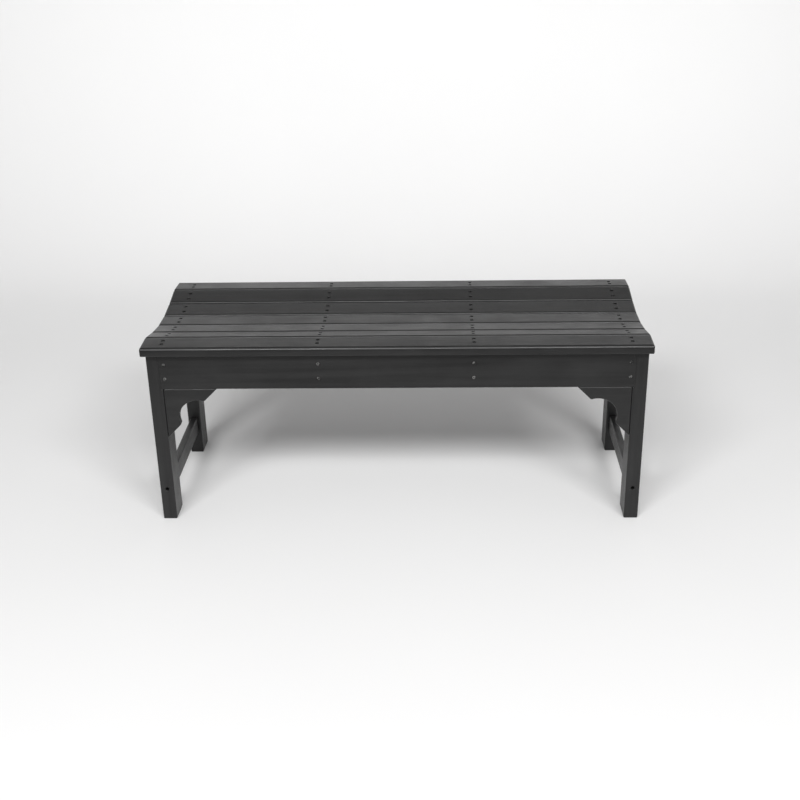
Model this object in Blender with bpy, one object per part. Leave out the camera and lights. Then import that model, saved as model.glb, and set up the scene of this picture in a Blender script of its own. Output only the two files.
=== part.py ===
"""Backless garden bench of recycled-plastic boards: a dished seat of seven slats on four
shaped ribs, framed by two aprons, four rabbeted legs, scroll brackets and side stretchers.

Metres, +Z up, +X along the bench, -Y towards the front. The origin is on the ground under
the middle of the bench. Nothing on the bench moves.
"""

from math import atan2, cos, pi, radians, sin

import bmesh
import bpy
import numpy as np
from mathutils import Matrix, Vector

# ---------------------------------------------------------------- driving dimensions
BENCH_LENGTH = 1.2192
BASE_LENGTH = 1.2032
BASE_DEPTH = 0.4434
DIP_HEIGHT = 0.4572
FIT_GAP = 0.0003

SLAT_WIDTH = 0.0657
SLAT_THICKNESS = 0.0222
SLAT_TILTS = (0.0, 7.2, 11.0, -2.2)
SLAT_GAPS = (0.0, 0.0045, 0.0045, 0.0062)
SLAT_TOP_ROUND = 0.0048
SEAT_EDGE_ROUND = 0.0085
SLAT_BOTTOM_ROUND = 0.0030
SLAT_CORNER_ROUND = 0.0030

BOARD_THICKNESS = 0.0222
BOARD_ROUND = 0.0030
APRON_BOTTOM = 0.3625
APRON_HEIGHT = 0.0921
RIB_BOTTOM = 0.3658

LEG_WIDTH = 0.0349
LEG_DEPTH = 0.0699
LEG_RABBET = 0.0053

BRACKET_REACH = 0.1330
BRACKET_COVE_CENTRE = 0.0800
BRACKET_COVE_RADIUS = 0.0485
COVE_STEPS = 12

STRETCHER_THICKNESS = 0.0190
STRETCHER_HEIGHT = 0.0460
STRETCHER_MIDDLE = 0.0860

SCREW_LENGTH = 0.0450
SCREW_SHANK = 0.0021
SCREW_HEAD = 0.0041
SCREW_HEAD_DEPTH = 0.0026
SCREW_POINT = 0.0060
SCREW_SINK = 0.0016
SLAT_SCREW_SINK = 0.0028
SCREW_SIDES = 8
COUNTERBORE = 0.0048
COUNTERBORE_SINK = 0.0120
SLAT_SCREW_OFFSETS = (-0.0130, 0.0130)
EDGE_SCREW_OFFSETS = (-0.0055, 0.0145)
APRON_SCREW_HEIGHTS = (0.3883, 0.4257)
RIB_SCREW_HEIGHTS = (0.3790, 0.4080)
RIB_SCREW_INSET = 0.0580
ROUND_STEPS = 2
TOP_ROUND_STEPS = 3

# ---------------------------------------------------------------- places worked out from them
FRONT = -BASE_DEPTH / 2
LEG_OUTER = BASE_LENGTH / 2
LEG_INNER = LEG_OUTER - LEG_WIDTH
LEG_MIDDLE = LEG_OUTER - LEG_WIDTH / 2
UPPER_INNER = LEG_INNER + LEG_RABBET
APRON_END = UPPER_INNER - FIT_GAP
APRON_TOP = APRON_BOTTOM + APRON_HEIGHT
APRON_BACK = FRONT + BOARD_THICKNESS
RIB_END = APRON_END - BOARD_THICKNESS / 2
RIB_PLACES = {
    "left_end": -RIB_END,
    "left_middle": -RIB_END / 3,
    "right_middle": RIB_END / 3,
    "right_end": RIB_END,
}
SIDES = {"left": -1, "right": 1}
ENDS = {"front": -1, "back": 1}

CHARCOAL = (0.040, 0.040, 0.042, 1.0)
STAINLESS = (0.52, 0.52, 0.51, 1.0)


# ---------------------------------------------------------------- helpers
def clear_scene():
    for old in list(bpy.data.objects):
        bpy.data.objects.remove(old, do_unlink=True)


def material(name, colour, roughness, metallic):
    made = bpy.data.materials.new(name)
    made.use_nodes = True
    shader = made.node_tree.nodes["Principled BSDF"]
    shader.inputs["Base Color"].default_value = colour
    shader.inputs["Roughness"].default_value = roughness
    shader.inputs["Metallic"].default_value = metallic
    made.diffuse_color = colour
    return made


def add_object(name, bm, parent, location=(0, 0, 0), tilt=0.0):
    bmesh.ops.recalc_face_normals(bm, faces=bm.faces)
    mesh = bpy.data.meshes.new(name)
    bm.to_mesh(mesh)
    bm.free()
    made = bpy.data.objects.new(name, mesh)
    made.location = location
    made.rotation_euler.x = tilt
    made.parent = parent
    bpy.context.scene.collection.objects.link(made)
    return made


def board_object(name, bm, parent, location=(0, 0, 0), tilt=0.0):
    made = add_object(name, bm, parent, location, tilt)
    made.data.materials.append(material(name + "_plastic", CHARCOAL, 0.5, 0.0))
    return made


def round_over(bm, radius):
    """Rounds every outer corner edge, and leaves inner corners and near-flat joints sharp."""
    sharp = [e for e in bm.edges if e.calc_face_angle_signed() > radians(30)]
    bmesh.ops.bevel(bm, geom=sharp, offset=radius, segments=ROUND_STEPS, profile=0.5, affect="EDGES")


def prism(outline, axis, start, end):
    """A closed outline of (across, up) points, drawn from start to end along the X or Y axis."""
    bm = bmesh.new()
    rings = []
    for along in (start, end):
        if axis == "X":
            points = [(along, across, up) for across, up in outline]
        else:
            points = [(across, along, up) for across, up in outline]
        rings.append([bm.verts.new(point) for point in points])
    bm.faces.new(rings[0])
    bm.faces.new(reversed(rings[1]))
    count = len(outline)
    for i in range(count):
        j = (i + 1) % count
        bm.faces.new((rings[0][i], rings[1][i], rings[1][j], rings[0][j]))
    bmesh.ops.recalc_face_normals(bm, faces=bm.faces)
    return bm


def box(x_range, y_range, z_range):
    outline = [(y, z) for y, z in zip(np.repeat(y_range, 2), (*z_range, *reversed(z_range)))]
    return prism(outline, "X", *x_range)


def turned(bm, profile, place):
    """Adds a turned solid: (radius, height) pairs from the top down, about the place's Z axis."""
    rings = []
    for radius, height in profile:
        ring = []
        for step in range(SCREW_SIDES):
            turn = 2 * pi * step / SCREW_SIDES
            ring.append(bm.verts.new(place @ Vector((radius * cos(turn), radius * sin(turn), height))))
        rings.append(ring)
    for upper, lower in zip(rings, rings[1:]):
        for i in range(SCREW_SIDES):
            j = (i + 1) % SCREW_SIDES
            bm.faces.new((upper[i], lower[i], lower[j], upper[j]))
    bm.faces.new(rings[0])
    bm.faces.new(reversed(rings[-1]))


def facing(point, outward):
    """A frame at a point on a board, with its Z axis pointing out of the board's face."""
    turn = Vector(outward).to_track_quat("Z", "Y").to_matrix().to_4x4()
    return Matrix.Translation(point) @ turn


# ---------------------------------------------------------------- the dished seat's section
def seat_section():
    """The middle of each slat's top face and its tilt, front to back, as (y, z, tilt)."""
    half = [(0.0, DIP_HEIGHT, 0.0)]
    edge_y, edge_z, last = SLAT_WIDTH / 2, DIP_HEIGHT, 0.0
    for degrees, gap in zip(SLAT_TILTS[1:], SLAT_GAPS[1:]):
        tilt = radians(degrees)
        between = (last + tilt) / 2
        edge_y += gap * cos(between)
        edge_z += gap * sin(between)
        half.append((edge_y + SLAT_WIDTH / 2 * cos(tilt), edge_z + SLAT_WIDTH / 2 * sin(tilt), tilt))
        edge_y += SLAT_WIDTH * cos(tilt)
        edge_z += SLAT_WIDTH * sin(tilt)
        last = tilt
    front = [(-y, z, -tilt) for y, z, tilt in reversed(half[1:])]
    return front + half


def underside_line():
    """The lower corners of every slat, front to back: the line that ribs and legs follow."""
    line = []
    for y, z, tilt in seat_section():
        low_y = y + SLAT_THICKNESS * sin(tilt)
        low_z = z - SLAT_THICKNESS * cos(tilt)
        for side in (-1, 1):
            line.append((low_y + side * SLAT_WIDTH / 2 * cos(tilt), low_z + side * SLAT_WIDTH / 2 * sin(tilt)))
    return np.array(line)


def support_top(start, end):
    """Points of a support's top edge between two depths, just clear of the slats above it."""
    line = underside_line()
    inside = [y for y in line[:, 0] if start < y < end]
    depths = [start, *inside, end]
    return [(y, float(np.interp(y, line[:, 0], line[:, 1])) - FIT_GAP) for y in depths]


# ---------------------------------------------------------------- screws and their holes
def screw_profile(sink, extra=0.0):
    """A countersunk wood screw, its top at `sink` under the surface; extra is radial clearance."""
    neck = -sink - SCREW_HEAD_DEPTH
    tip = -sink - SCREW_LENGTH
    return [
        (SCREW_HEAD + extra, -sink + extra),
        (SCREW_SHANK + extra, neck),
        (SCREW_SHANK + extra, tip + SCREW_POINT),
        (0.0006 + extra, tip - extra),
    ]


def hole_profile(sink, mouth):
    """The screw's outline with clearance, opened out to the surface at the mouth's radius."""
    outline = screw_profile(sink, FIT_GAP)
    return [(mouth, SCREW_HEAD_DEPTH), (mouth, outline[0][1]), *outline]


def slat_hole_profile():
    neck = -SLAT_SCREW_SINK - SCREW_HEAD_DEPTH
    head = SCREW_HEAD + FIT_GAP
    shank = SCREW_SHANK + FIT_GAP
    return [(head, SLAT_THICKNESS), (head, -SLAT_SCREW_SINK), (shank, neck), (shank, -2 * SLAT_THICKNESS)]


def drill(board, profile, places):
    """Cuts the same turned hole into a board at every place, with one hidden cutter."""
    bm = bmesh.new()
    for place in places:
        turned(bm, profile, place)
    cutter = add_object(board.name + "_drill_" + str(len(board.modifiers)), bm, board.parent)
    cutter.hide_render = True
    cutter.display_type = "WIRE"
    cut = board.modifiers.new("drilled", "BOOLEAN")
    cut.operation = "DIFFERENCE"
    cut.solver = "EXACT"
    cut.object = cutter


def screw_object(name, place, sink, parent):
    bm = bmesh.new()
    turned(bm, screw_profile(sink), place)
    made = add_object(name, bm, parent)
    made.data.materials.append(material(name + "_steel", STAINLESS, 0.3, 1.0))
    made.data.shade_smooth()
    made.data.set_sharp_from_angle(angle=radians(40))
    return made


# ---------------------------------------------------------------- the seat
def set_in(depth, radius):
    """How far a quarter round takes an edge in, at a depth below the face."""
    over = max(radius - depth, 0.0)
    return radius - (radius**2 - over**2) ** 0.5


def round_depths(*radii):
    turns = [pi / 2 * step / TOP_ROUND_STEPS for step in range(TOP_ROUND_STEPS + 1)]
    return sorted({round(radius * (1 - cos(turn)), 6) for radius in radii for turn in turns})


def slat_body(front_round, back_round):
    """A slat lying flat, as a stack of level outlines from its underside to its top."""
    levels = []
    for depth in round_depths(SLAT_BOTTOM_ROUND):
        inset = set_in(depth, SLAT_BOTTOM_ROUND)
        levels.append((depth - SLAT_THICKNESS, inset, inset, inset))
    for depth in reversed(round_depths(SLAT_TOP_ROUND, front_round, back_round)):
        levels.append((-depth, *(set_in(depth, radius) for radius in (SLAT_TOP_ROUND, front_round, back_round))))
    bm = bmesh.new()
    rings = []
    for z, end_inset, front_inset, back_inset in levels:
        corner = max(SLAT_CORNER_ROUND - end_inset, 0.0008)
        across = BENCH_LENGTH / 2 - end_inset - corner
        front = front_inset + corner - SLAT_WIDTH / 2
        back = SLAT_WIDTH / 2 - back_inset - corner
        ring = []
        for quarter, (x, y) in enumerate(((across, back), (-across, back), (-across, front), (across, front))):
            for step in range(ROUND_STEPS + 1):
                turn = pi / 2 * (quarter + step / ROUND_STEPS)
                ring.append(bm.verts.new((x + corner * cos(turn), y + corner * sin(turn), z)))
        rings.append(ring)
    for lower, upper in zip(rings, rings[1:]):
        for i in range(len(lower)):
            j = (i + 1) % len(lower)
            bm.faces.new((lower[i], lower[j], upper[j], upper[i]))
    bm.faces.new(reversed(rings[0]))
    bm.faces.new(rings[-1])
    return bm


def slat_screw_offsets(number):
    """Across each slat. The outer slats' screws are set in from the edge, over the aprons."""
    if number == 1:
        return EDGE_SCREW_OFFSETS
    if number == 2 * len(SLAT_TILTS) - 1:
        return [-offset for offset in EDGE_SCREW_OFFSETS]
    return SLAT_SCREW_OFFSETS


def make_slats(parent):
    """Seven slats, each drilled twice over every rib and tilted to the seat's dish."""
    for number, (y, z, tilt) in enumerate(seat_section(), start=1):
        front_round = SEAT_EDGE_ROUND if number == 1 else SLAT_TOP_ROUND
        back_round = SEAT_EDGE_ROUND if number == 2 * len(SLAT_TILTS) - 1 else SLAT_TOP_ROUND
        body = slat_body(front_round, back_round)
        slat = board_object(f"seat_slat_{number}", body, parent, (0, y, z), tilt)
        lean = Matrix.Translation((0, y, z)) @ Matrix.Rotation(tilt, 4, "X")
        places = []
        for x in RIB_PLACES.values():
            for offset in slat_screw_offsets(number):
                places.append(lean @ Matrix.Translation((x, offset, 0)))
        drill(slat, slat_hole_profile(), places)


def make_rib(name, x, parent):
    """A cross rib on edge, with its top sawn to the seat's underside."""
    reach = -APRON_BACK - FIT_GAP
    outline = [(-reach, RIB_BOTTOM), *support_top(-reach, reach), (reach, RIB_BOTTOM)]
    bm = prism(outline, "X", x - BOARD_THICKNESS / 2, x + BOARD_THICKNESS / 2)
    return board_object(name + "_rib", bm, parent)


# ---------------------------------------------------------------- the base
def make_apron(name, end, parent):
    bm = box(
        (-APRON_END, APRON_END),
        sorted((end * -FRONT, end * -APRON_BACK)),
        (APRON_BOTTOM, APRON_TOP),
    )
    round_over(bm, BOARD_ROUND)
    return board_object(name + "_apron", bm, parent)


def make_leg(name, side, end, parent):
    """A post rabbeted on its inner side for the apron's end, its top sawn to the slats."""
    depths = support_top(FRONT, FRONT + LEG_DEPTH)
    shoulder = APRON_BOTTOM - FIT_GAP
    bm = bmesh.new()
    rings = []
    for y, top in depths:
        outline = [
            (LEG_OUTER, 0),
            (LEG_OUTER, top),
            (UPPER_INNER, top),
            (UPPER_INNER, shoulder),
            (LEG_INNER, shoulder),
            (LEG_INNER, 0),
        ]
        rings.append([bm.verts.new((side * x, -end * y, z)) for x, z in outline])
    bm.faces.new(rings[0])
    bm.faces.new(rings[-1])
    for near, far in zip(rings, rings[1:]):
        for i in range(len(near)):
            j = (i + 1) % len(near)
            bm.faces.new((near[i], far[i], far[j], near[j]))
    bmesh.ops.recalc_face_normals(bm, faces=bm.faces)
    round_over(bm, BOARD_ROUND)
    return board_object(name + "_leg", bm, parent)


def bracket_outline():
    """Distances (in from the leg, down from the apron) round a bracket: a cove between chamfers."""
    centre, radius = BRACKET_COVE_CENTRE, BRACKET_COVE_RADIUS
    chamfer = (BRACKET_REACH - (2 * radius**2 - (BRACKET_REACH - 2 * centre) ** 2) ** 0.5) / 2
    start = atan2(chamfer - centre, BRACKET_REACH - chamfer - centre)
    sweep = -2 * (start + 3 * pi / 4)
    outline = [(FIT_GAP, FIT_GAP), (BRACKET_REACH, FIT_GAP)]
    for step in range(COVE_STEPS + 1):
        turn = start + sweep * step / COVE_STEPS
        outline.append((centre + radius * cos(turn), centre + radius * sin(turn)))
    outline.append((FIT_GAP, BRACKET_REACH))
    return outline


def make_bracket(name, side, end, parent):
    outline = [(side * (LEG_INNER - across), APRON_BOTTOM - down) for across, down in bracket_outline()]
    bm = prism(outline, "Y", *sorted((end * -FRONT, end * -APRON_BACK)))
    round_over(bm, BOARD_ROUND)
    return board_object(name + "_bracket", bm, parent)


def make_stretcher(name, side, parent):
    reach = -FRONT - LEG_DEPTH - FIT_GAP
    bm = box(
        sorted(side * (LEG_MIDDLE + part * STRETCHER_THICKNESS / 2) for part in (-1, 1)),
        (-reach, reach),
        (STRETCHER_MIDDLE - STRETCHER_HEIGHT / 2, STRETCHER_MIDDLE + STRETCHER_HEIGHT / 2),
    )
    round_over(bm, BOARD_ROUND)
    return board_object(name + "_stretcher", bm, parent)


# ---------------------------------------------------------------- fastening it together
def fasten(boards, name, places, sink, mouth, parent):
    """Drives one screw at each place and drills every board it passes through."""
    for board in boards:
        drill(board, hole_profile(sink, mouth), places)
    for number, place in enumerate(places, start=1):
        screw_object(f"{name}_screw_{number}", place, sink, parent)


def fasten_aprons(aprons, ribs, parent):
    for end_name, end in ENDS.items():
        for rib_name, x in RIB_PLACES.items():
            places = [facing((x, end * -FRONT, z), (0, end, 0)) for z in APRON_SCREW_HEIGHTS]
            boards = (aprons[end_name], ribs[rib_name])
            fasten(boards, f"{end_name}_apron_{rib_name}", places, SCREW_SINK, SCREW_HEAD + FIT_GAP, parent)


def fasten_corner(name, side, end, leg, rib, bracket, apron, stretcher, parent):
    """The screws at one corner: leg to rib, leg to stretcher, bracket to leg and to apron."""
    inset = end * (-FRONT - RIB_SCREW_INSET)
    places = [facing((side * LEG_OUTER, inset, z), (side, 0, 0)) for z in RIB_SCREW_HEIGHTS]
    fasten((leg, rib), name + "_leg", places, SCREW_SINK, SCREW_HEAD + FIT_GAP, parent)

    face = facing((side * LEG_MIDDLE, end * -FRONT, STRETCHER_MIDDLE), (0, end, 0))
    deep = LEG_DEPTH - SCREW_LENGTH / 2
    fasten((leg, stretcher), name + "_stretcher", [face], deep, COUNTERBORE, parent)

    middle = end * (-FRONT - BOARD_THICKNESS / 2)
    low = BRACKET_COVE_CENTRE - BRACKET_COVE_RADIUS
    across = side * (LEG_INNER - BRACKET_COVE_CENTRE)
    upright = facing((across, middle, APRON_BOTTOM - low), (0, 0, -1))
    fasten((bracket, apron), name + "_bracket_top", [upright], COUNTERBORE_SINK, COUNTERBORE, parent)
    down = APRON_BOTTOM - BRACKET_COVE_CENTRE
    level = facing((side * (LEG_INNER - low), middle, down), (-side, 0, 0))
    fasten((bracket, leg), name + "_bracket_side", [level], COUNTERBORE_SINK, COUNTERBORE, parent)


# ---------------------------------------------------------------- the whole bench
def make_bench():
    clear_scene()
    bench = bpy.data.objects.new("bench", None)
    bpy.context.scene.collection.objects.link(bench)
    make_slats(bench)
    ribs = {name: make_rib(name, x, bench) for name, x in RIB_PLACES.items()}
    aprons = {name: make_apron(name, end, bench) for name, end in ENDS.items()}
    stretchers = {name: make_stretcher(name, side, bench) for name, side in SIDES.items()}
    fasten_aprons(aprons, ribs, bench)
    for end_name, end in ENDS.items():
        for side_name, side in SIDES.items():
            name = f"{end_name}_{side_name}"
            leg = make_leg(name, side, end, bench)
            bracket = make_bracket(name, side, end, bench)
            rib = ribs[side_name + "_end"]
            apron = aprons[end_name]
            fasten_corner(name, side, end, leg, rib, bracket, apron, stretchers[side_name], bench)


make_bench()
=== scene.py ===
# %% [markdown]
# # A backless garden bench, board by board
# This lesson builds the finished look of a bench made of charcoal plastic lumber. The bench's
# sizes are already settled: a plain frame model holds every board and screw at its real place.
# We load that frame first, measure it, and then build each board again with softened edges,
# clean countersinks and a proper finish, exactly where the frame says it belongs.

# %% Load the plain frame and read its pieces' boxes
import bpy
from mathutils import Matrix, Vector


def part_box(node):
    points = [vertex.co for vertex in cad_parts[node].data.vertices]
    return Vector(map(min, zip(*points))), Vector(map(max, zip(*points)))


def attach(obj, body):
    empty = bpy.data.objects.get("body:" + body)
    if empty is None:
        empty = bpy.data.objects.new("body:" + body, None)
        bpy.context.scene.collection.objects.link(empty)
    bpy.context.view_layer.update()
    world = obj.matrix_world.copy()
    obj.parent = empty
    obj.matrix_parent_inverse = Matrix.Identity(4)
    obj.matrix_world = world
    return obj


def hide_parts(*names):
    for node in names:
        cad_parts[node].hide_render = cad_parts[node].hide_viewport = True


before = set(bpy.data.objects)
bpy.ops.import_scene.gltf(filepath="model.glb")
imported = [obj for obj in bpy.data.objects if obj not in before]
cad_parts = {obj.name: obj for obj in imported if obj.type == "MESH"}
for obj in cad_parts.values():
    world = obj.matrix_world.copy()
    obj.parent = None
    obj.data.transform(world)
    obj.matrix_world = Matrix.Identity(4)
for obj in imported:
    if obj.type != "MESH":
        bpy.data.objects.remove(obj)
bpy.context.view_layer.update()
print(len(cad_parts), "plain pieces in the frame")

# %% [markdown]
# Blender's own modules come next. `bmesh` edits meshes vertex by vertex, `numpy` interpolates
# along the seat's underside, and `mathutils` gives the vectors and matrices that place things.

# %% Bring in the modelling modules
from math import atan2, cos, pi, radians, sin

import bmesh
import bpy
import numpy as np
from mathutils import Matrix, Vector

BODY = "root"
GAP = 0.0003
print("every piece rides on the one body,", BODY)

# %% [markdown]
# ## Measuring the frame
# The seat is a shallow dish of seven slats. Only the middle one is level, so its box gives the
# slats' true width and thickness. The others are tilted, and a tilted board's box says nothing
# exact about its tilt. We could repeat the angles here, but reading them from the frame is
# safer: the biggest upward face of each plain slat is its top, and its normal is the tilt.

# %% Read each slat's middle and tilt
def box_middle(node):
    low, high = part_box(node)
    return (low + high) / 2


def tilt_of(node):
    """A slat's tilt about the X axis, from the normal of its biggest upward face."""
    upward = [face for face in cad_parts[node].data.polygons if face.normal.z > 0.5]
    normal = max(upward, key=lambda face: face.area).normal
    return atan2(-normal.y, normal.z)


SLATS = sorted(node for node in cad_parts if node.startswith("seat_slat"))
MIDDLE_SLAT = SLATS[len(SLATS) // 2]
slat_low, slat_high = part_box(MIDDLE_SLAT)
SLAT_LENGTH, SLAT_WIDTH, SLAT_THICKNESS = slat_high - slat_low
slat_places = {}
for slat in SLATS:
    slat_places[slat] = Matrix.Translation(box_middle(slat)) @ Matrix.Rotation(tilt_of(slat), 4, "X")
    print(slat, "is tilted", round(tilt_of(slat) * 180 / pi, 1), "degrees")

# %% [markdown]
# The ribs and the legs are sawn along their tops to follow the slats' undersides. That line is
# the chain of the slats' lower corners, front to back, so it is worked out from the same places.

# %% Work out the line under the slats
def underside_line():
    line = []
    for slat in SLATS:
        for side in (-1, 1):
            corner = slat_places[slat] @ Vector((0, side * SLAT_WIDTH / 2, -SLAT_THICKNESS / 2))
            line.append((corner.y, corner.z))
    return np.array(sorted(line))


UNDERSIDE = underside_line()


def support_top(start, end):
    """Points (y, z) along the top of a support that spans from start to end, just clear of the slats."""
    inside = [y for y in UNDERSIDE[:, 0] if start < y < end]
    return [(y, float(np.interp(y, UNDERSIDE[:, 0], UNDERSIDE[:, 1])) - GAP) for y in (start, *inside, end)]


print("the dish is", round((UNDERSIDE[:, 1].max() - UNDERSIDE[:, 1].min()) * 1000), "mm deep")

# %% [markdown]
# ## The lumber's finish
# Plastic lumber is extruded: coloured all through, with faint streaks drawn out along the
# board, a soft sheen, a slightly uneven skin and tiny pits where bubbles broke the surface.
# A picture could be wrapped round each board, but it would need unwrapping and would repeat.
# Procedural noise has no seams, works at any distance and runs along whichever way a board lies.
#
# Several finishes share these effects, so each effect is a node group with named sockets.
# First comes a helper that makes an empty group, and a second one that wires nodes together.

# %% Helpers for node groups
def start_group(name, inputs, outputs):
    """A new shader node group with the named sockets, and its input and output nodes."""
    group = bpy.data.node_groups.new(name, "ShaderNodeTree")
    for socket, kind in inputs.items():
        group.interface.new_socket(name=socket, in_out="INPUT", socket_type=kind)
    for socket, kind in outputs.items():
        group.interface.new_socket(name=socket, in_out="OUTPUT", socket_type=kind)
    return group, group.nodes.new("NodeGroupInput"), group.nodes.new("NodeGroupOutput")


def add_node(tree, kind, settings=None, **values):
    """Adds a node. Values go to the sockets of that name, and a value that is a socket is linked."""
    node = tree.nodes.new(kind)
    for setting, value in (settings or {}).items():
        setattr(node, setting, value)
    for socket_name, value in values.items():
        wanted = socket_name.replace("_", " ")
        socket = next(s for s in node.inputs if s.name.lower() == wanted.lower() and s.enabled)
        if isinstance(value, bpy.types.NodeSocket):
            tree.links.new(value, socket)
        else:
            socket.default_value = value
    return node


def maths(tree, operation, first, second=0.0):
    """One Math node, as most of the mixing of masks and heights is plain arithmetic."""
    node = tree.nodes.new("ShaderNodeMath")
    node.operation = operation
    for socket, value in zip(node.inputs, (first, second)):
        if isinstance(value, bpy.types.NodeSocket):
            tree.links.new(value, socket)
        else:
            socket.default_value = value
    return node.outputs[0]


def spread(tree, value, low, high, to_low=0.0, to_high=1.0):
    """Stretches a value's range onto another, and clamps it there."""
    node = add_node(tree, "ShaderNodeMapRange", Value=value)
    node.inputs["From Min"].default_value = low
    node.inputs["From Max"].default_value = high
    node.inputs["To Min"].default_value = to_low
    node.inputs["To Max"].default_value = to_high
    return node.outputs["Result"]


VECTOR = "NodeSocketVector"
FLOAT = "NodeSocketFloat"
print("node helpers are ready")

# %% [markdown]
# The grain group squeezes space across the board and leaves it long along the board, so round
# noise blobs become streaks. `Stretch` holds that squeeze as one number for each axis, which is
# how the same group serves a board that lies along X, Y or Z. `Seed` shifts each board's noise,
# so that no two boards are alike.

# %% The extruded grain group
BUBBLES_PER_METRE = 170.0
BIGGEST_PIT = 0.22


def make_grain_group():
    group, given, out = start_group(
        "lumber_grain",
        {"Place": VECTOR, "Stretch": VECTOR, "Seed": FLOAT},
        {"Tone": FLOAT, "Height": FLOAT, "Gloss": FLOAT},
    )
    place, seed = given.outputs["Place"], given.outputs["Seed"]
    drawn = add_node(group, "ShaderNodeVectorMath", {"operation": "MULTIPLY"})
    group.links.new(place, drawn.inputs[0])
    group.links.new(given.outputs["Stretch"], drawn.inputs[1])
    long = drawn.outputs[0]

    def noise(where, scale, detail, roughness=0.5):
        values = {"Vector": where, "W": seed, "Scale": scale, "Detail": detail, "Roughness": roughness}
        made = add_node(group, "ShaderNodeTexNoise", {"noise_dimensions": "4D"}, **values)
        return made.outputs["Fac"]

    streaks = noise(long, 3.0, 6.0, 0.6)
    fibres = noise(long, 16.0, 4.0, 0.7)
    mottle = noise(place, 11.0, 4.0, 0.55)
    pebble = noise(place, 950.0, 2.0)
    sparse = noise(place, 60.0, 1.0)
    bubbles = add_node(
        group,
        "ShaderNodeTexVoronoi",
        {"voronoi_dimensions": "4D"},
        Vector=place,
        W=seed,
        Scale=BUBBLES_PER_METRE,
    )
    pit_size = spread(group, sparse, 0.52, 0.75, 0.0, BIGGEST_PIT)
    pit = maths(group, "LESS_THAN", bubbles.outputs["Distance"], pit_size)

    tone = maths(group, "MULTIPLY", streaks, 0.65)
    tone = maths(group, "ADD", tone, maths(group, "MULTIPLY", mottle, 0.35))
    height = maths(group, "ADD", maths(group, "MULTIPLY", streaks, 0.45), fibres)
    height = maths(group, "ADD", height, maths(group, "MULTIPLY", pebble, 0.35))
    height = maths(group, "SUBTRACT", height, maths(group, "MULTIPLY", pit, 0.8))
    gloss = maths(group, "MULTIPLY", maths(group, "ADD", mottle, fibres), 0.5)
    group.links.new(tone, out.inputs["Tone"])
    group.links.new(height, out.inputs["Height"])
    group.links.new(gloss, out.inputs["Gloss"])
    return group


GRAIN = make_grain_group()
print("made the group", GRAIN.name)

# %% [markdown]
# A router rounds the long edges and a saw cuts the ends, and both take off the smooth extruded
# skin. Where that happened can be read from which way a face looks. A flat side looks straight
# along an axis, a rounded edge looks somewhere between two, and a sawn end looks along the
# board. The group turns those three cases into masks, with no painting by hand. The most tilted
# slats lean by 11 degrees, so a face only begins to count as rounded beyond that.

# %% The cut faces group
def make_cut_group():
    group, given, out = start_group(
        "cut_faces", {"Facing": VECTOR, "Along": VECTOR}, {"Routed": FLOAT, "Sawn": FLOAT}
    )
    size = add_node(group, "ShaderNodeVectorMath", {"operation": "ABSOLUTE"})
    group.links.new(given.outputs["Facing"], size.inputs[0])
    parts = add_node(group, "ShaderNodeSeparateXYZ", Vector=size.outputs[0])
    across_or_up = maths(group, "MAXIMUM", parts.outputs["Y"], parts.outputs["Z"])
    biggest = maths(group, "MAXIMUM", parts.outputs["X"], across_or_up)
    end = add_node(group, "ShaderNodeVectorMath", {"operation": "DOT_PRODUCT"})
    group.links.new(size.outputs[0], end.inputs[0])
    group.links.new(given.outputs["Along"], end.inputs[1])
    group.links.new(spread(group, biggest, 0.975, 0.85), out.inputs["Routed"])
    group.links.new(spread(group, end.outputs["Value"], 0.80, 0.95), out.inputs["Sawn"])
    return group


CUT = make_cut_group()
print("made the group", CUT.name)

# %% [markdown]
# A circular saw leaves close, slightly wandering ridges across an end. A wave texture gives the
# ridges, its distortion makes them wander, and a little noise breaks them up.

# %% The saw marks group
def make_saw_group():
    group, given, out = start_group("saw_marks", {"Place": VECTOR, "Spacing": FLOAT}, {"Height": FLOAT})
    ridges = add_node(
        group,
        "ShaderNodeTexWave",
        {"wave_type": "BANDS", "bands_direction": "DIAGONAL"},
        Vector=given.outputs["Place"],
        Scale=given.outputs["Spacing"],
        Distortion=2.5,
        Detail=2.0,
    )
    broken = add_node(group, "ShaderNodeTexNoise", Vector=given.outputs["Place"], Scale=420.0, Detail=3.0)
    height = maths(group, "MULTIPLY", ridges.outputs["Fac"], broken.outputs["Fac"])
    group.links.new(height, out.inputs["Height"])
    return group


SAW = make_saw_group()
print("made the group", SAW.name)

# %% [markdown]
# Outdoors, and even in a showroom, pale dust settles on what faces up. It is patchy and thin, so
# the mask is the upward part of a face's direction, thinned out by two sizes of noise.

# %% The settled dust group
def make_dust_group():
    group, given, out = start_group("settled_dust", {"Place": VECTOR, "Facing": VECTOR}, {"Dust": FLOAT})
    parts = add_node(group, "ShaderNodeSeparateXYZ", Vector=given.outputs["Facing"])
    patches = add_node(group, "ShaderNodeTexNoise", Vector=given.outputs["Place"], Scale=5.0, Detail=5.0)
    specks = add_node(group, "ShaderNodeTexNoise", Vector=given.outputs["Place"], Scale=700.0, Detail=1.0)
    upward = spread(group, parts.outputs["Z"], 0.5, 1.0)
    thin = spread(group, patches.outputs["Fac"], 0.35, 0.75)
    speck = spread(group, specks.outputs["Fac"], 0.45, 0.72)
    dust = maths(group, "MULTIPLY", maths(group, "MULTIPLY", upward, thin), speck)
    group.links.new(dust, out.inputs["Dust"])
    return group


DUST = make_dust_group()
print("made the group", DUST.name)

# %% [markdown]
# Now the groups come together in one finish for the boards. The shader itself stays here in the
# material, where the constant numbers sit on its own sockets. Everything that varies over the
# board, which is its colour, roughness and bump, comes in through links. Each board gets its own
# copy, because its streaks run its own way and its seed is its own.

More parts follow.
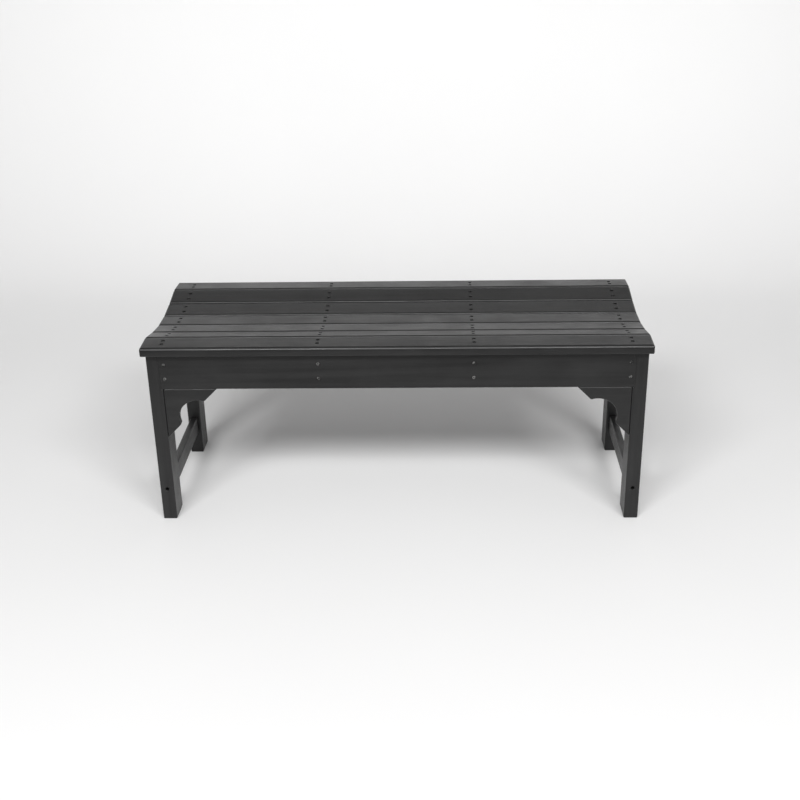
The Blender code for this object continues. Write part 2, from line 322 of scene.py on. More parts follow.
# %% The charcoal lumber finish
CHARCOAL_DEEP = (0.0050, 0.0050, 0.0051, 1.0)
CHARCOAL_PALE = (0.0165, 0.0165, 0.0166, 1.0)
ROUTED_COLOUR = (0.0150, 0.0150, 0.0153, 1.0)
DUST_COLOUR = (0.20, 0.20, 0.19, 1.0)
DRAW_OUT = 26.0
SAW_RIDGES_PER_METRE = 160.0
SMOOTHEST, ROUGHEST = 0.28, 0.45
AXES = {"X": (1.0, 0.0, 0.0), "Y": (0.0, 1.0, 0.0), "Z": (0.0, 0.0, 1.0)}


def mix_colour(tree, amount, first, second):
    node = tree.nodes.new("ShaderNodeMix")
    node.data_type = "RGBA"
    sockets = [s for s in node.inputs if s.enabled]
    for socket, value in zip(sockets, (amount, first, second)):
        if isinstance(value, bpy.types.NodeSocket):
            tree.links.new(value, socket)
        else:
            socket.default_value = value
    return next(s for s in node.outputs if s.enabled)


def use_group(tree, group, **values):
    node = tree.nodes.new("ShaderNodeGroup")
    node.node_tree = group
    for socket_name, value in values.items():
        if isinstance(value, bpy.types.NodeSocket):
            tree.links.new(value, node.inputs[socket_name])
        else:
            node.inputs[socket_name].default_value = value
    return node


def lumber_finish(name, along, seed):
    """Charcoal plastic lumber, with its streaks drawn out along the board's long axis."""
    material = bpy.data.materials.new(name)
    material.use_nodes = True
    tree = material.node_tree
    shader = tree.nodes["Principled BSDF"]
    where = tree.nodes.new("ShaderNodeTexCoord")
    place, facing = where.outputs["Object"], where.outputs["Normal"]
    stretch = [1.0 if part else DRAW_OUT for part in AXES[along]]

    grain = use_group(tree, GRAIN, Place=place, Stretch=stretch, Seed=seed)
    cut = use_group(tree, CUT, Facing=facing, Along=AXES[along])
    saw = use_group(tree, SAW, Place=place, Spacing=SAW_RIDGES_PER_METRE)
    dust = use_group(tree, DUST, Place=place, Facing=facing)

    tone = spread(tree, grain.outputs["Tone"], 0.35, 0.65)
    streaked = mix_colour(tree, tone, CHARCOAL_DEEP, CHARCOAL_PALE)
    opened = maths(tree, "MAXIMUM", cut.outputs["Routed"], cut.outputs["Sawn"])
    routed = mix_colour(tree, maths(tree, "MULTIPLY", opened, 0.45), streaked, ROUTED_COLOUR)
    dusty = mix_colour(tree, maths(tree, "MULTIPLY", dust.outputs["Dust"], 0.10), routed, DUST_COLOUR)
    tree.links.new(dusty, shader.inputs["Base Color"])

    rough = spread(tree, grain.outputs["Gloss"], 0.38, 0.62, SMOOTHEST, ROUGHEST)
    rough = maths(tree, "ADD", rough, maths(tree, "MULTIPLY", cut.outputs["Sawn"], 0.16))
    rough = maths(tree, "ADD", rough, maths(tree, "MULTIPLY", dust.outputs["Dust"], 0.12))
    tree.links.new(rough, shader.inputs["Roughness"])

    ridges = maths(tree, "MULTIPLY", saw.outputs["Height"], cut.outputs["Sawn"])
    height = maths(tree, "ADD", grain.outputs["Height"], maths(tree, "MULTIPLY", ridges, 1.5))
    bump = add_node(tree, "ShaderNodeBump", Height=height, Strength=0.45, Distance=0.0004)
    tree.links.new(bump.outputs["Normal"], shader.inputs["Normal"])
    shader.inputs["IOR"].default_value = 1.44
    return material


print("lumber streaks are drawn out", DRAW_OUT, "times along each board")

# %% [markdown]
# The screws are stainless, turned on a lathe, a little dull, with patches of grime. Their base
# colour is set darker than clean steel: partly their own dull tone, partly painted shade for the
# sunk holes they sit in. Fine rings round each head would need a centre for every screw, so plain
# fine noise stands for the tool marks, and broad noise varies the polish from screw to screw.

# %% The stainless finish
# Darker than clean steel: partly the screws' own dull tone, partly painted shade for their sunk holes.
STEEL_DULL_AND_SHADED = (0.30, 0.30, 0.295, 1.0)
STEEL_GRIMY = (0.045, 0.045, 0.045, 1.0)


def steel_finish():
    material = bpy.data.materials.new("stainless_screws")
    material.use_nodes = True
    tree = material.node_tree
    shader = tree.nodes["Principled BSDF"]
    where = tree.nodes.new("ShaderNodeTexCoord").outputs["Object"]
    grime = add_node(tree, "ShaderNodeTexNoise", Vector=where, Scale=230.0, Detail=4.0)
    marks = add_node(tree, "ShaderNodeTexNoise", Vector=where, Scale=2600.0, Detail=2.0)
    polish = add_node(tree, "ShaderNodeTexNoise", Vector=where, Scale=9.0, Detail=1.0)
    grimy = spread(tree, grime.outputs["Fac"], 0.40, 0.58)
    tree.links.new(mix_colour(tree, grimy, STEEL_DULL_AND_SHADED, STEEL_GRIMY), shader.inputs["Base Color"])
    rough = spread(tree, polish.outputs["Fac"], 0.35, 0.65, 0.22, 0.40)
    rough = maths(tree, "ADD", rough, maths(tree, "MULTIPLY", grimy, 0.2))
    tree.links.new(rough, shader.inputs["Roughness"])
    bump = add_node(tree, "ShaderNodeBump", Height=marks.outputs["Fac"], Strength=0.3, Distance=0.00005)
    tree.links.new(bump.outputs["Normal"], shader.inputs["Normal"])
    shader.inputs["Metallic"].default_value = 1.0
    return material


STEEL = steel_finish()
print("made the finish", STEEL.name)

# %% [markdown]
# ## Shaping boards
# Every board starts as a closed outline drawn along one axis, which covers plain boards, the
# sawn ribs, the rabbeted legs and the scroll brackets alike. Its outer corners are then rounded
# with the bevel operator. A modifier could do that too, but it would also fill the inner
# corners of a rabbet, so the edges are picked by angle instead: only those that stick out.

# %% Draw an outline out into a board and round it
ROUND_STEPS = 6
BOARD_ROUND = 0.0030
TOUCHING = 0.0001


def drawn_board(outline, axis, start, end):
    """A closed (across, up) outline drawn from start to end along X or Y."""
    bm = bmesh.new()
    rings = []
    for along in (start, end):
        points = [(along, a, up) if axis == "X" else (a, along, up) for a, up in outline]
        rings.append([bm.verts.new(point) for point in points])
    bm.faces.new(rings[0])
    bm.faces.new(reversed(rings[1]))
    for i in range(len(outline)):
        j = (i + 1) % len(outline)
        bm.faces.new((rings[0][i], rings[1][i], rings[1][j], rings[0][j]))
    bmesh.ops.recalc_face_normals(bm, faces=bm.faces)
    return bm


def round_outer_edges(bm, radius, keep_square=None):
    """Rounds the edges that stick out, but not those that lie wholly where keep_square says."""
    sharp = [edge for edge in bm.edges if edge.calc_face_angle_signed() > radians(30)]
    if keep_square:
        sharp = [edge for edge in sharp if not all(keep_square(vert.co) for vert in edge.verts)]
    bmesh.ops.bevel(bm, geom=sharp, offset=radius, segments=ROUND_STEPS, profile=0.5, affect="EDGES")


def plain_board(low, high, radius, keep_square=None):
    """A straight board that fills a box, with its edges rounded."""
    outline = [(low[1], low[2]), (low[1], high[2]), (high[1], high[2]), (high[1], low[2])]
    bm = drawn_board(outline, "X", low[0], high[0])
    round_outer_edges(bm, radius, keep_square)
    return bm


print("edges are rounded in", ROUND_STEPS, "steps")

# %% [markdown]
# ## Screws and their holes
# A countersunk deck screw has a flat head with a star recess, a cone under it, a threaded shank
# and a point. A lathe makes it by turning a profile, and so do we: `turned` spins a short list
# of (radius, height) pairs. The thread is a stack of ridges, which is enough for a shank that
# stays inside the board.

# %% Turn profiles into round solids
HEAD_RADIUS = 0.0041
HEAD_DEPTH = 0.0026
HEAD_RIM = 0.0003
SHANK_RADIUS = 0.0021
CORE_RADIUS = 0.0016
SCREW_LENGTH = 0.0450
POINT_LENGTH = 0.0060
SCREW_SIDES = 32
THREAD_RIDGES = 14


def turned(bm, profile, sides, place):
    """Adds a turned solid to bm: (radius, height) pairs from the top down, about place's Z axis."""
    rings = []
    for radius, height in profile:
        ring = []
        for step in range(sides):
            turn = 2 * pi * step / sides
            ring.append(bm.verts.new(place @ Vector((radius * cos(turn), radius * sin(turn), height))))
        rings.append(ring)
    for upper, lower in zip(rings, rings[1:]):
        for i in range(sides):
            j = (i + 1) % sides
            bm.faces.new((upper[i], lower[i], lower[j], upper[j]))
    bm.faces.new(rings[0])
    bm.faces.new(reversed(rings[-1]))


def screw_outline():
    """The head's crowned rim and cone, then thread ridges down to the point."""
    outline = [
        (HEAD_RADIUS - HEAD_RIM, 0.0),
        (HEAD_RADIUS, -HEAD_RIM),
        (HEAD_RADIUS, -2 * HEAD_RIM),
        (SHANK_RADIUS, -HEAD_DEPTH),
    ]
    start, end = -2.5 * HEAD_DEPTH, -SCREW_LENGTH + POINT_LENGTH
    pitch = (start - end) / THREAD_RIDGES
    outline.append((SHANK_RADIUS, start))
    for ridge in range(THREAD_RIDGES):
        top = start - ridge * pitch
        outline += [(CORE_RADIUS, top - 0.25 * pitch), (SHANK_RADIUS, top - 0.6 * pitch)]
    outline += [(CORE_RADIUS, end - 0.001), (0.0003, -SCREW_LENGTH)]
    return outline


print("a screw has", len(screw_outline()), "rings")

# %% [markdown]
# `carve` runs one Boolean and keeps its result, so that no cutter is left in the scene. The
# same step then shades the mesh: smooth over the rounded edges, sharp at the rims of holes, with
# weighted normals so that the wide flat faces stay flat to the eye.

# %% Cut shapes out of a mesh, and shade the result
def mesh_object(name, bm):
    mesh = bpy.data.meshes.new(name)
    bm.to_mesh(mesh)
    bm.free()
    piece = bpy.data.objects.new(name, mesh)
    bpy.context.scene.collection.objects.link(piece)
    return piece


def carve(piece, cutter_bm):
    cutter = mesh_object(piece.name + "_cutter", cutter_bm)
    cut = piece.modifiers.new("cut", "BOOLEAN")
    cut.operation = "DIFFERENCE"
    cut.solver = "EXACT"
    cut.object = cutter
    graph = bpy.context.evaluated_depsgraph_get()
    piece.data = bpy.data.meshes.new_from_object(piece.evaluated_get(graph))
    piece.data.name = piece.name
    piece.modifiers.clear()
    bpy.data.objects.remove(cutter, do_unlink=True)


def shade(piece, sharp_degrees=32):
    piece.data.shade_smooth()
    piece.data.set_sharp_from_angle(angle=radians(sharp_degrees))
    even = piece.modifiers.new("even_shading", "WEIGHTED_NORMAL")
    even.keep_sharp = True


def place_piece(piece, finish, nodes):
    """Gives a finished piece its material, ties it to the frame and hides what it stands for."""
    piece.data.materials.clear()
    piece.data.materials.append(finish)
    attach(piece, BODY)
    if nodes:
        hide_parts(*nodes)


print("carving and shading helpers are ready")

# %% [markdown]
# Every screw on the bench is the same, so one is made with care: a crowned head turned with its
# ridged shank, and a star recess cut into the head. The others copy its mesh.

# %% Make the one screw that all the others copy
RECESS_RADIUS = 0.0017
RECESS_LOBE = 0.00030
RECESS_DEPTH = 0.0019
RECESS_TAPER = 0.86
RECESS_STEPS = 48
CUT_CLEAR = 0.001


def recess_cutter():
    """A six-lobed star, a little narrower at its bottom."""
    bm = bmesh.new()
    rings = []
    for height, share in ((CUT_CLEAR, 1.0), (-RECESS_DEPTH, RECESS_TAPER)):
        ring = []
        for step in range(RECESS_STEPS):
            turn = 2 * pi * step / RECESS_STEPS
            radius = share * (RECESS_RADIUS + RECESS_LOBE * cos(6 * turn))
            ring.append(bm.verts.new((radius * cos(turn), radius * sin(turn), height)))
        rings.append(ring)
    bm.faces.new(rings[0])
    bm.faces.new(reversed(rings[1]))
    for i in range(RECESS_STEPS):
        j = (i + 1) % RECESS_STEPS
        bm.faces.new((rings[0][i], rings[1][i], rings[1][j], rings[0][j]))
    bmesh.ops.recalc_face_normals(bm, faces=bm.faces)
    return bm


def make_pattern_screw():
    bm = bmesh.new()
    turned(bm, screw_outline(), SCREW_SIDES, Matrix.Identity(4))
    bmesh.ops.recalc_face_normals(bm, faces=bm.faces)
    pattern = mesh_object("pattern_screw", bm)
    carve(pattern, recess_cutter())
    mesh = pattern.data
    bpy.data.objects.remove(pattern, do_unlink=True)
    return mesh


PATTERN_SCREW = make_pattern_screw()
print("the pattern screw has", len(PATTERN_SCREW.polygons), "faces")

# %% [markdown]
# Where do the screws go? The frame holds every screw through the aprons, legs and brackets, and
# its name and the side of the bench it is on say which way it was driven. The seat screws aren't
# in the frame, so they are set out as a joiner would: two at each crossing of a slat and a rib,
# square to the slat. The outer slats lie over the aprons, so their screws move inwards: one goes
# down into the apron and the other into the rib's end.
#
# `facing` makes a small coordinate system on a board's surface with its Z axis pointing out.

# %% Find every screw's place
def facing(point, outward):
    turn = Vector(outward).to_track_quat("Z", "Y").to_matrix().to_4x4()
    return Matrix.Translation(point) @ turn


def outward_of(node):
    """The way a frame screw's head looks, from what it fastens."""
    side = 1.0 if box_middle(node).x > 0 else -1.0
    end = 1.0 if box_middle(node).y > 0 else -1.0
    if "bracket_top" in node:
        return Vector((0, 0, -1))
    if "bracket_side" in node:
        return Vector((-side, 0, 0))
    if "leg_screw" in node:
        return Vector((side, 0, 0))
    return Vector((0, end, 0))


def frame_screw_place(node):
    low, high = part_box(node)
    outward = outward_of(node)
    half = (high - low) / 2
    return facing((low + high) / 2 + Vector([h * o for h, o in zip(half, outward)]), outward)


RIBS = sorted((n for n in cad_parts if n.endswith("_rib")), key=lambda n: box_middle(n).x)
SLAT_SCREW_OFFSETS = dict.fromkeys(SLATS, (-0.0130, 0.0130))
SLAT_SCREW_OFFSETS[SLATS[0]] = (-0.0055, 0.0145)
SLAT_SCREW_OFFSETS[SLATS[-1]] = (-0.0145, 0.0055)
SLAT_SCREW_SINK = 0.0028
seat_screws = {}
for rib in RIBS:
    for slat in SLATS:
        for offset in SLAT_SCREW_OFFSETS[slat]:
            spot = Vector((box_middle(rib).x, offset, SLAT_THICKNESS / 2 - SLAT_SCREW_SINK))
            seat_screws[rib, slat, offset] = slat_places[slat] @ Matrix.Translation(spot)
frame_screws = {n: frame_screw_place(n) for n in sorted(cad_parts) if "_screw_" in n}
print(len(seat_screws), "seat screws and", len(frame_screws), "frame screws")

# %% [markdown]
# A hole is the screw's own shape with a little clearance, opened out above the head. The drill
# bit also breaks the rim slightly, so the mouth ends in a tiny chamfer. One Boolean takes all of
# a board's holes at once, which is much faster than one for each.

# %% Drill a board for its screws
MOUTH_RADIUS = HEAD_RADIUS + 0.0003
RIM_BREAK = 0.0004
DRILL_REACH = 0.060
HOLE_SIDES = 40


def hole_outline(sink, mouth=MOUTH_RADIUS):
    """From outside the board down: the rim's chamfer, the mouth, the cone and the pilot hole."""
    shank = SHANK_RADIUS + GAP
    return [
        (mouth + RIM_BREAK + DRILL_REACH, sink + DRILL_REACH),
        (mouth + RIM_BREAK, sink),
        (mouth, sink - RIM_BREAK),
        (mouth, -GAP),
        (shank, -HEAD_DEPTH - GAP),
        (shank, -SCREW_LENGTH - GAP),
    ]


def straight_hole_outline(mouth=MOUTH_RADIUS):
    """The same hole where the board's surface is rounded or far off, with no chamfer at its rim."""
    return [(mouth, DRILL_REACH), *hole_outline(CUT_CLEAR, mouth)[3:]]


def drill(piece, holes):
    """Cuts (outline, place) holes into a board."""
    bm = bmesh.new()
    for outline, place in holes:
        turned(bm, outline, HOLE_SIDES, place)
    bmesh.ops.recalc_face_normals(bm, faces=bm.faces)
    carve(piece, bm)


print("holes are", round(MOUTH_RADIUS * 2000, 1), "mm across at the mouth")

# %% [markdown]
# ## The seat
# Seven slats, all cut from one size of board. The lower edges are only eased, the top edges are
# rounder, and the seat's own front and back edges are the roundest, as that is where legs rest.
# One bevel can't give several sizes where they meet at a corner, so a slat is built as a stack
# of level outlines. Each is a rectangle with small round corners, and each of its sides is set
# in by what that side's round takes off at its height.
#
# A slat is modelled lying flat about its own middle, where its edges line up with the axes, and
# its finished mesh is then tilted and moved to its place in the dish.

# %% Make the seven slats
SLAT_TOP_ROUND = 0.0048
SEAT_EDGE_ROUND = 0.0085
SLAT_BOTTOM_ROUND = 0.0030
SLAT_CORNER_ROUND = 0.0030
SMALLEST_CORNER = 0.0008


def set_in(depth, radius):
    """How far a quarter round takes an edge in, at a depth below the face."""
    over = max(radius - depth, 0.0)
    return radius - (radius**2 - over**2) ** 0.5


def round_depths(*radii):
    """The depths of every step round one or more quarter rounds."""
    turns = [pi / 2 * step / ROUND_STEPS for step in range(ROUND_STEPS + 1)]
    return sorted({round(radius * (1 - cos(turn)), 6) for radius in radii for turn in turns})


def slat_outline(end_inset, front_inset, back_inset):
    """One level outline of a slat, as (x, y) points."""
    corner = max(SLAT_CORNER_ROUND - end_inset, SMALLEST_CORNER)
    across = SLAT_LENGTH / 2 - end_inset - corner
    front = front_inset + corner - SLAT_WIDTH / 2
    back = SLAT_WIDTH / 2 - back_inset - corner
    outline = []
    for quarter, (x, y) in enumerate(((across, back), (-across, back), (-across, front), (across, front))):
        for step in range(ROUND_STEPS + 1):
            turn = pi / 2 * (quarter + step / ROUND_STEPS)
            outline.append((x + corner * cos(turn), y + corner * sin(turn)))
    return outline


def slat_body(front_round, back_round):
    half = SLAT_THICKNESS / 2
    top_rounds = (SLAT_TOP_ROUND, front_round, back_round)
    levels = []
    for depth in round_depths(SLAT_BOTTOM_ROUND):
        levels.append((depth - half, [set_in(depth, SLAT_BOTTOM_ROUND)] * 3))
    for depth in reversed(round_depths(*top_rounds)):
        levels.append((half - depth, [set_in(depth, radius) for radius in top_rounds]))
    bm = bmesh.new()
    rings = [[bm.verts.new((x, y, z)) for x, y in slat_outline(*insets)] for z, insets in levels]
    bm.faces.new(reversed(rings[0]))
    bm.faces.new(rings[-1])
    for lower, upper in zip(rings, rings[1:]):
        for i in range(len(lower)):
            j = (i + 1) % len(lower)
            bm.faces.new((lower[i], lower[j], upper[j], upper[i]))
    return bm


def make_slat(slat, number):
    front_round = SEAT_EDGE_ROUND if slat == SLATS[0] else SLAT_TOP_ROUND
    back_round = SEAT_EDGE_ROUND if slat == SLATS[-1] else SLAT_TOP_ROUND
    piece = mesh_object(slat + "_board", slat_body(front_round, back_round))
    to_slat = slat_places[slat].inverted()
    places = [to_slat @ place for (_, owner, _), place in seat_screws.items() if owner == slat]
    drill(piece, [(hole_outline(SLAT_SCREW_SINK), place) for place in places])
    piece.data.transform(slat_places[slat])
    shade(piece)
    place_piece(piece, lumber_finish(slat + "_lumber", "X", 3.1 * number), [slat])
    return piece


slat_pieces = [make_slat(slat, number) for number, slat in enumerate(SLATS, start=1)]
print("each slat has", len(slat_pieces[0].data.polygons), "faces")

# %% [markdown]
# ## The ribs
# A rib is a board on edge whose top is band-sawn to the dish. Its outline therefore comes from
# `support_top`, and its outer edges are eased with a small radius, so that the slats still bear
# on it. The seat screws and the apron screws all end in it.

# %% Make the four cross ribs
RIB_ROUND = 0.0012


def screws_near(piece_node, names, reach=0.004):
    """The places of the named frame screws whose boxes touch a node's box."""
    low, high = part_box(piece_node)
    found = []
    for name in names:
        screw_low, screw_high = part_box(name)
        if all(screw_low[i] < high[i] + reach and screw_high[i] > low[i] - reach for i in range(3)):
            found.append(frame_screws[name])
    return found


def make_rib(rib, number):
    low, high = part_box(rib)
    outline = [(low.y, low.z), *support_top(low.y, high.y), (high.y, low.z)]
    bm = drawn_board(outline, "X", low.x, high.x)
    round_outer_edges(bm, RIB_ROUND)
    piece = mesh_object(rib + "_board", bm)
    pilots = [place for (owner, _, _), place in seat_screws.items() if owner == rib]
    pilots += screws_near(rib, frame_screws)
    drill(piece, [(straight_hole_outline(SHANK_RADIUS + GAP), place) for place in pilots])
    shade(piece)
    place_piece(piece, lumber_finish(rib + "_lumber", "Y", 40 + 2.7 * number), [rib])
    return piece


rib_pieces = [make_rib(rib, number) for number, rib in enumerate(RIBS)]
print(len(rib_pieces), "ribs, each with", len(rib_pieces[0].data.polygons), "faces")

# %% [markdown]
# ## The aprons
# The two long boards on edge close the seat's front and back. They are plain boards, so their
# boxes in the frame say everything except how far their edges are rounded. Their ends stay
# square, because they butt tight into the legs and a round there would open a dark groove.

# %% Make the front and back aprons
def apron_holes(apron):
    """Countersinks for the screws into the ribs, and pilots for those from slats and brackets."""
    pilot = straight_hole_outline(SHANK_RADIUS + GAP)
    slat = SLATS[0] if apron.startswith("front") else SLATS[-1]
    holes = [(pilot, place) for (_, owner, _), place in seat_screws.items() if owner == slat]
    for name, place in frame_screws.items():
        if name.startswith(apron + "_"):
            low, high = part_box(apron)
            face = high.y if place.translation.y > 0 else low.y
            holes.append((hole_outline(abs(face - place.translation.y)), place))
        elif "bracket_top" in name and name.startswith(apron.split("_")[0]):
            holes.append((pilot, place))
    return holes


def make_apron(apron, seed):
    low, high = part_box(apron)
    body = plain_board(low, high, BOARD_ROUND, lambda place: abs(place.x) > high.x - TOUCHING)
    piece = mesh_object(apron + "_board", body)
    drill(piece, apron_holes(apron))
    shade(piece)
    place_piece(piece, lumber_finish(apron + "_lumber", "X", seed), [apron])
    return piece


apron_pieces = [make_apron("front_apron", 61.0), make_apron("back_apron", 67.0)]
print("aprons:", ", ".join(piece.name for piece in apron_pieces))

# %% [markdown]
# ## The legs
# A leg is a square post with a shallow rabbet on its inner side: the apron and the end rib lie
# in it, and the shoulder carries them. Its top is sawn to the slats like a rib's. Seen from the
# front the outline is an L, and the L's top moves up and down with the underside line, so the
# leg is built from a few slices from front to back instead of one straight draw. The edges that
# meet the apron's ends stay square.

# %% Make the four legs
CORNERS = [end + "_" + side for end in ("front", "back") for side in ("left", "right")]
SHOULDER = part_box("front_apron")[0].z - GAP
APRON_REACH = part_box("front_apron")[1].x
COUNTERBORE = 0.0048


def leg_body(leg):
    low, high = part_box(leg)
    side = 1.0 if high.x > 0 else -1.0
    outer, inner = max(abs(low.x), abs(high.x)), min(abs(low.x), abs(high.x))
    upper = APRON_REACH + GAP
    bm = bmesh.new()
    slices = []
    for y, top in support_top(low.y, high.y):
        outline = [
            (outer, low.z),
            (outer, top),
            (upper, top),
            (upper, SHOULDER),
            (inner, SHOULDER),
            (inner, low.z),
        ]
        slices.append([bm.verts.new((side * x, y, z)) for x, z in outline])
    bm.faces.new(slices[0])
    bm.faces.new(slices[-1])
    for near, far in zip(slices, slices[1:]):
        for i in range(len(near)):
            j = (i + 1) % len(near)
            bm.faces.new((near[i], far[i], far[j], near[j]))
    bmesh.ops.recalc_face_normals(bm, faces=bm.faces)
    return bm


def leg_holes(corner):
    holes = []
    for name, place in frame_screws.items():
        if name.startswith(corner + "_leg"):
            outer = max(abs(x) for x in (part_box(corner + "_leg")[0].x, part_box(corner + "_leg")[1].x))
            holes.append((hole_outline(outer - abs(place.translation.x)), place))
        elif name.startswith(corner + "_stretcher"):
            outer = max(abs(y) for y in (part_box(corner + "_leg")[0].y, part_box(corner + "_leg")[1].y))
            holes.append((hole_outline(outer - abs(place.translation.y), COUNTERBORE), place))
        elif name.startswith(corner + "_bracket_side"):
            holes.append((straight_hole_outline(SHANK_RADIUS + GAP), place))
    return holes


def make_leg(corner, seed):
    bm = leg_body(corner + "_leg")
    round_outer_edges(bm, BOARD_ROUND, lambda place: abs(abs(place.x) - APRON_REACH - GAP) < TOUCHING)
    piece = mesh_object(corner + "_leg_post", bm)
    drill(piece, leg_holes(corner))
    shade(piece)
    finish = lumber_finish(corner + "_leg_lumber", "Z", seed)
    place_piece(piece, finish, [corner + "_leg"])
    return piece


leg_pieces = [make_leg(corner, 71.0 + 3.3 * number) for number, corner in enumerate(CORNERS)]
print(len(leg_pieces), "legs stand on the ground")

# %% [markdown]
# ## The corner brackets
# Each bracket is a scroll cut from flat board: a 45 degree chamfer, a round cove, and another
# chamfer, the same both ways about its diagonal. We draw it by distances in from the leg and
# down from the apron. The cove is a true arc, so it is a loop over angles, and where the arc
# meets the chamfers comes from the crossing of a line and a circle.

# %% Make the four scroll brackets
COVE_CENTRE = 0.0800
COVE_RADIUS = 0.0485
COVE_STEPS = 40


def bracket_outline(reach):
    """Distances (in from the leg, down from the apron) round one bracket."""
    chamfer = (reach - (2 * COVE_RADIUS**2 - (reach - 2 * COVE_CENTRE) ** 2) ** 0.5) / 2
    start = atan2(chamfer - COVE_CENTRE, reach - chamfer - COVE_CENTRE)
    sweep = -2 * (start + 3 * pi / 4)
    outline = [(GAP, GAP), (reach, GAP)]
    for step in range(COVE_STEPS + 1):
        turn = start + sweep * step / COVE_STEPS
        outline.append((COVE_CENTRE + COVE_RADIUS * cos(turn), COVE_CENTRE + COVE_RADIUS * sin(turn)))
    outline.append((GAP, reach))
    return outline


def make_bracket(corner, seed):
    node = corner + "_bracket"
    low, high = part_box(node)
    side = 1.0 if high.x > 0 else -1.0
    leg_face = max(abs(low.x), abs(high.x)) + GAP
    apron_face = high.z + GAP
    reach = apron_face - low.z
    outline = [(side * (leg_face - across), apron_face - down) for across, down in bracket_outline(reach)]
    bm = drawn_board(outline, "Y", low.y, high.y)
    round_outer_edges(bm, BOARD_ROUND)
    piece = mesh_object(node + "_board", bm)
    names = [name for name in frame_screws if name.startswith(node + "_")]
    drill(piece, [(straight_hole_outline(COUNTERBORE), frame_screws[name]) for name in names])
    shade(piece, 20)
    place_piece(piece, lumber_finish(node + "_lumber", "X", seed), [node])
    return piece


bracket_pieces = [make_bracket(corner, 90.0 + 2.9 * number) for number, corner in enumerate(CORNERS)]
print("each bracket has", len(bracket_pieces[0].data.polygons), "faces")

# %% [markdown]
# ## The side stretchers
# A low board between each pair of legs stops them from spreading. It is centred on the legs and
# held by one long screw through each, set deep in a counterbore.

# %% Make the two stretchers
def make_stretcher(side, seed):
    node = side + "_stretcher"
    piece = mesh_object(node + "_board", plain_board(*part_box(node), BOARD_ROUND))
    names = [n for n in frame_screws if n.endswith("_stretcher_screw_1") and "_" + side + "_" in n]
    drill(piece, [(straight_hole_outline(SHANK_RADIUS + GAP), frame_screws[name]) for name in names])
    shade(piece)
    place_piece(piece, lumber_finish(node + "_lumber", "Y", seed), [node])
    return piece


stretcher_pieces = [make_stretcher("left", 110.0), make_stretcher("right", 113.0)]
print(len(stretcher_pieces), "stretchers join the legs")

# %% [markdown]
# ## Driving the screws
# The screws are copies of the pattern, gathered into sets by what they hold, so that the list of
# pieces stays easy to read. Each copy is turned about its own axis by its own angle, as real
# screws never stop with their stars lined up. The golden angle never repeats.

# %% Set out the screws in their sets
GOLDEN_ANGLE = 2.39996


def make_screw_set(name, places, nodes):
    bm = bmesh.new()
    for number, place in enumerate(places):
        first = len(bm.verts)
        bm.from_mesh(PATTERN_SCREW)
        bm.verts.ensure_lookup_table()
        spin = place @ Matrix.Rotation(GOLDEN_ANGLE * number, 4, "Z")
        bmesh.ops.transform(bm, matrix=spin, verts=bm.verts[first:])
    piece = mesh_object(name, bm)
    shade(piece, 35)
    place_piece(piece, STEEL, nodes)
    return piece


for rib in RIBS:
    over_rib = [place for (owner, _, _), place in seat_screws.items() if owner == rib]
    make_screw_set(rib.replace("_rib", "_seat_screws"), over_rib, [])
SETS = {
    "front_apron_screws": lambda n: n.startswith("front_apron_"),
    "back_apron_screws": lambda n: n.startswith("back_apron_"),
    "leg_to_rib_screws": lambda n: "_leg_screw_" in n,
    "stretcher_screws": lambda n: "_stretcher_screw_" in n,
    "bracket_screws": lambda n: "_bracket_" in n,
}
for set_name, belongs in SETS.items():
    members = [n for n in frame_screws if belongs(n)]
    make_screw_set(set_name, [frame_screws[n] for n in members], members)
    print(set_name, "holds", len(members))

# %% [markdown]
# ## The studio
# The bench stands on a seamless paper sweep: a pale floor that curves up into a pale wall. The
# sweep matters for the dark boards. Their tops are seen at a low angle, where any plastic shines
# like a mirror, so they show the wall behind, and each slat shows a different height of it. The
# paper itself is very faintly clouded, with a fine tooth.

# %% Lay the paper sweep
SWEEP_HALF_WIDTH = 3.2
SWEEP_FRONT = -1.26
SWEEP_START = 1.40
SWEEP_RADIUS = 1.00
SWEEP_TOP = 1.95
SWEEP_STEPS = 32
PAPER_DEEP = (0.855, 0.855, 0.855, 1.0)
PAPER_PALE = (0.865, 0.865, 0.865, 1.0)


def paper_finish():
    material = bpy.data.materials.new("pale_paper")
    material.use_nodes = True
    tree = material.node_tree
    shader = tree.nodes["Principled BSDF"]
    where = tree.nodes.new("ShaderNodeTexCoord").outputs["Object"]
    clouds = add_node(tree, "ShaderNodeTexNoise", Vector=where, Scale=1.3, Detail=3.0)
    fibre = add_node(tree, "ShaderNodeTexNoise", Vector=where, Scale=900.0, Detail=2.0)
    tint = spread(tree, clouds.outputs["Fac"], 0.3, 0.7)
    tree.links.new(mix_colour(tree, tint, PAPER_DEEP, PAPER_PALE), shader.inputs["Base Color"])
    bump = add_node(tree, "ShaderNodeBump", Height=fibre.outputs["Fac"], Strength=0.1, Distance=0.0002)
    tree.links.new(bump.outputs["Normal"], shader.inputs["Normal"])
    shader.inputs["Roughness"].default_value = 0.9
    shader.inputs["Specular IOR Level"].default_value = 0.1
    return material


def make_sweep():
    profile = [(SWEEP_FRONT, 0.0)]
    for step in range(SWEEP_STEPS + 1):
        turn = 0.5 * pi * step / SWEEP_STEPS
        profile.append((SWEEP_START + SWEEP_RADIUS * sin(turn), SWEEP_RADIUS * (1 - cos(turn))))
    profile.append((SWEEP_START + SWEEP_RADIUS, SWEEP_TOP))
    bm = bmesh.new()
    rows = [[bm.verts.new((side * SWEEP_HALF_WIDTH, y, z)) for side in (-1, 1)] for y, z in profile]
    for near, far in zip(rows, rows[1:]):
        bm.faces.new((near[0], near[1], far[1], far[0]))
    sweep = mesh_object("paper_sweep", bm)
    sweep.data.shade_smooth()
    sweep.data.materials.append(paper_finish())
    return sweep


make_sweep()
print("the sweep starts to rise", SWEEP_START, "m behind the middle of the bench")

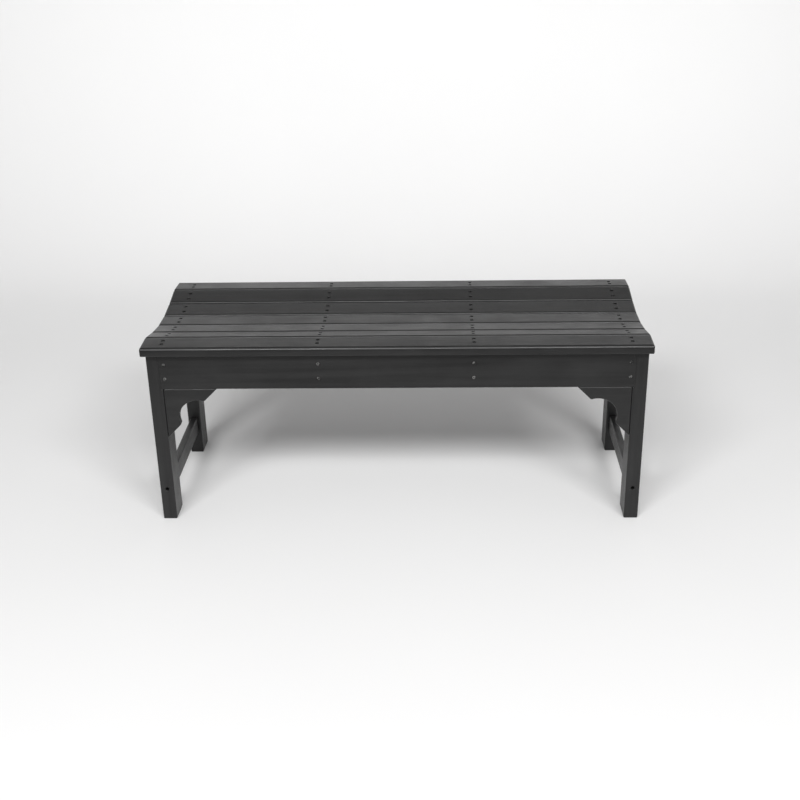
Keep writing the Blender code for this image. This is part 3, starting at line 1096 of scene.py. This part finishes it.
# %% [markdown]
# Three large soft boxes light the bench from the front, high up at the left, middle and right,
# so its shadow falls under and just behind it, and no one edge of it is hard. A fourth washes the
# wall. The room itself is a dim grey, which keeps the highest reflections dark, as a real
# studio's ceiling does. The paper ends close in front, so that the front faces don't mirror it.

# %% Hang the lights
def soft_box(name, place, aim, size, power, spread_degrees=180):
    light = bpy.data.lights.new(name, "AREA")
    light.shape = "RECTANGLE"
    light.size, light.size_y = size
    light.energy = power
    light.spread = radians(spread_degrees)
    lamp = bpy.data.objects.new(name, light)
    lamp.location = place
    lamp.rotation_euler = (Vector(aim) - Vector(place)).to_track_quat("-Z", "Y").to_euler()
    bpy.context.scene.collection.objects.link(lamp)
    return lamp


soft_box("key_left", (-1.62, -3.63, 3.64), (0.0, 2.0, 0.4), (1.7, 1.1), 108)
soft_box("key_right", (1.95, -3.46, 3.64), (0.0, 2.0, 0.4), (1.7, 1.1), 94)
soft_box("key_middle", (0.16, -4.03, 3.81), (0.0, 2.0, 0.4), (1.7, 1.1), 101)
soft_box("wall_wash", (0.0, 1.3, 2.2), (0.0, 2.4, 0.9), (4.4, 0.3), 5.3, 100)

world = bpy.data.worlds.new("dim_studio")
world.use_nodes = True
world.node_tree.nodes["Background"].inputs["Color"].default_value = (1.0, 0.99, 0.985, 1.0)
world.node_tree.nodes["Background"].inputs["Strength"].default_value = 0.26
bpy.context.scene.world = world
bpy.context.scene.view_settings.view_transform = "Standard"
print("four soft boxes and a dim room")

# %% [markdown]
# The camera stands in front, a little right of the middle, at eye height, and looks down on the
# bench through a slightly long lens. Its three angles are set one after another, so that the
# small roll stays separate from the pitch and the turn to the side.

# %% Set the camera
CAMERA_PLACE = Vector((0.1045, -2.8301, 1.5255))
CAMERA_PITCH = radians(24.60)
CAMERA_YAW = radians(-2.11)
CAMERA_ROLL = radians(-1.16)


def make_camera():
    lens = bpy.data.cameras.new("studio_camera")
    lens.lens = 53.3
    lens.sensor_width = 36.0
    lens.dof.use_dof = False
    camera = bpy.data.objects.new("studio_camera", lens)
    look = Matrix.Rotation(-CAMERA_YAW, 4, "Z") @ Matrix.Rotation(pi / 2 - CAMERA_PITCH, 4, "X")
    camera.matrix_world = Matrix.Translation(CAMERA_PLACE) @ look @ Matrix.Rotation(CAMERA_ROLL, 4, "Z")
    bpy.context.scene.collection.objects.link(camera)
    bpy.context.scene.camera = camera
    return camera


make_camera()
print("the camera is", round(CAMERA_PLACE.length, 2), "m from the bench")
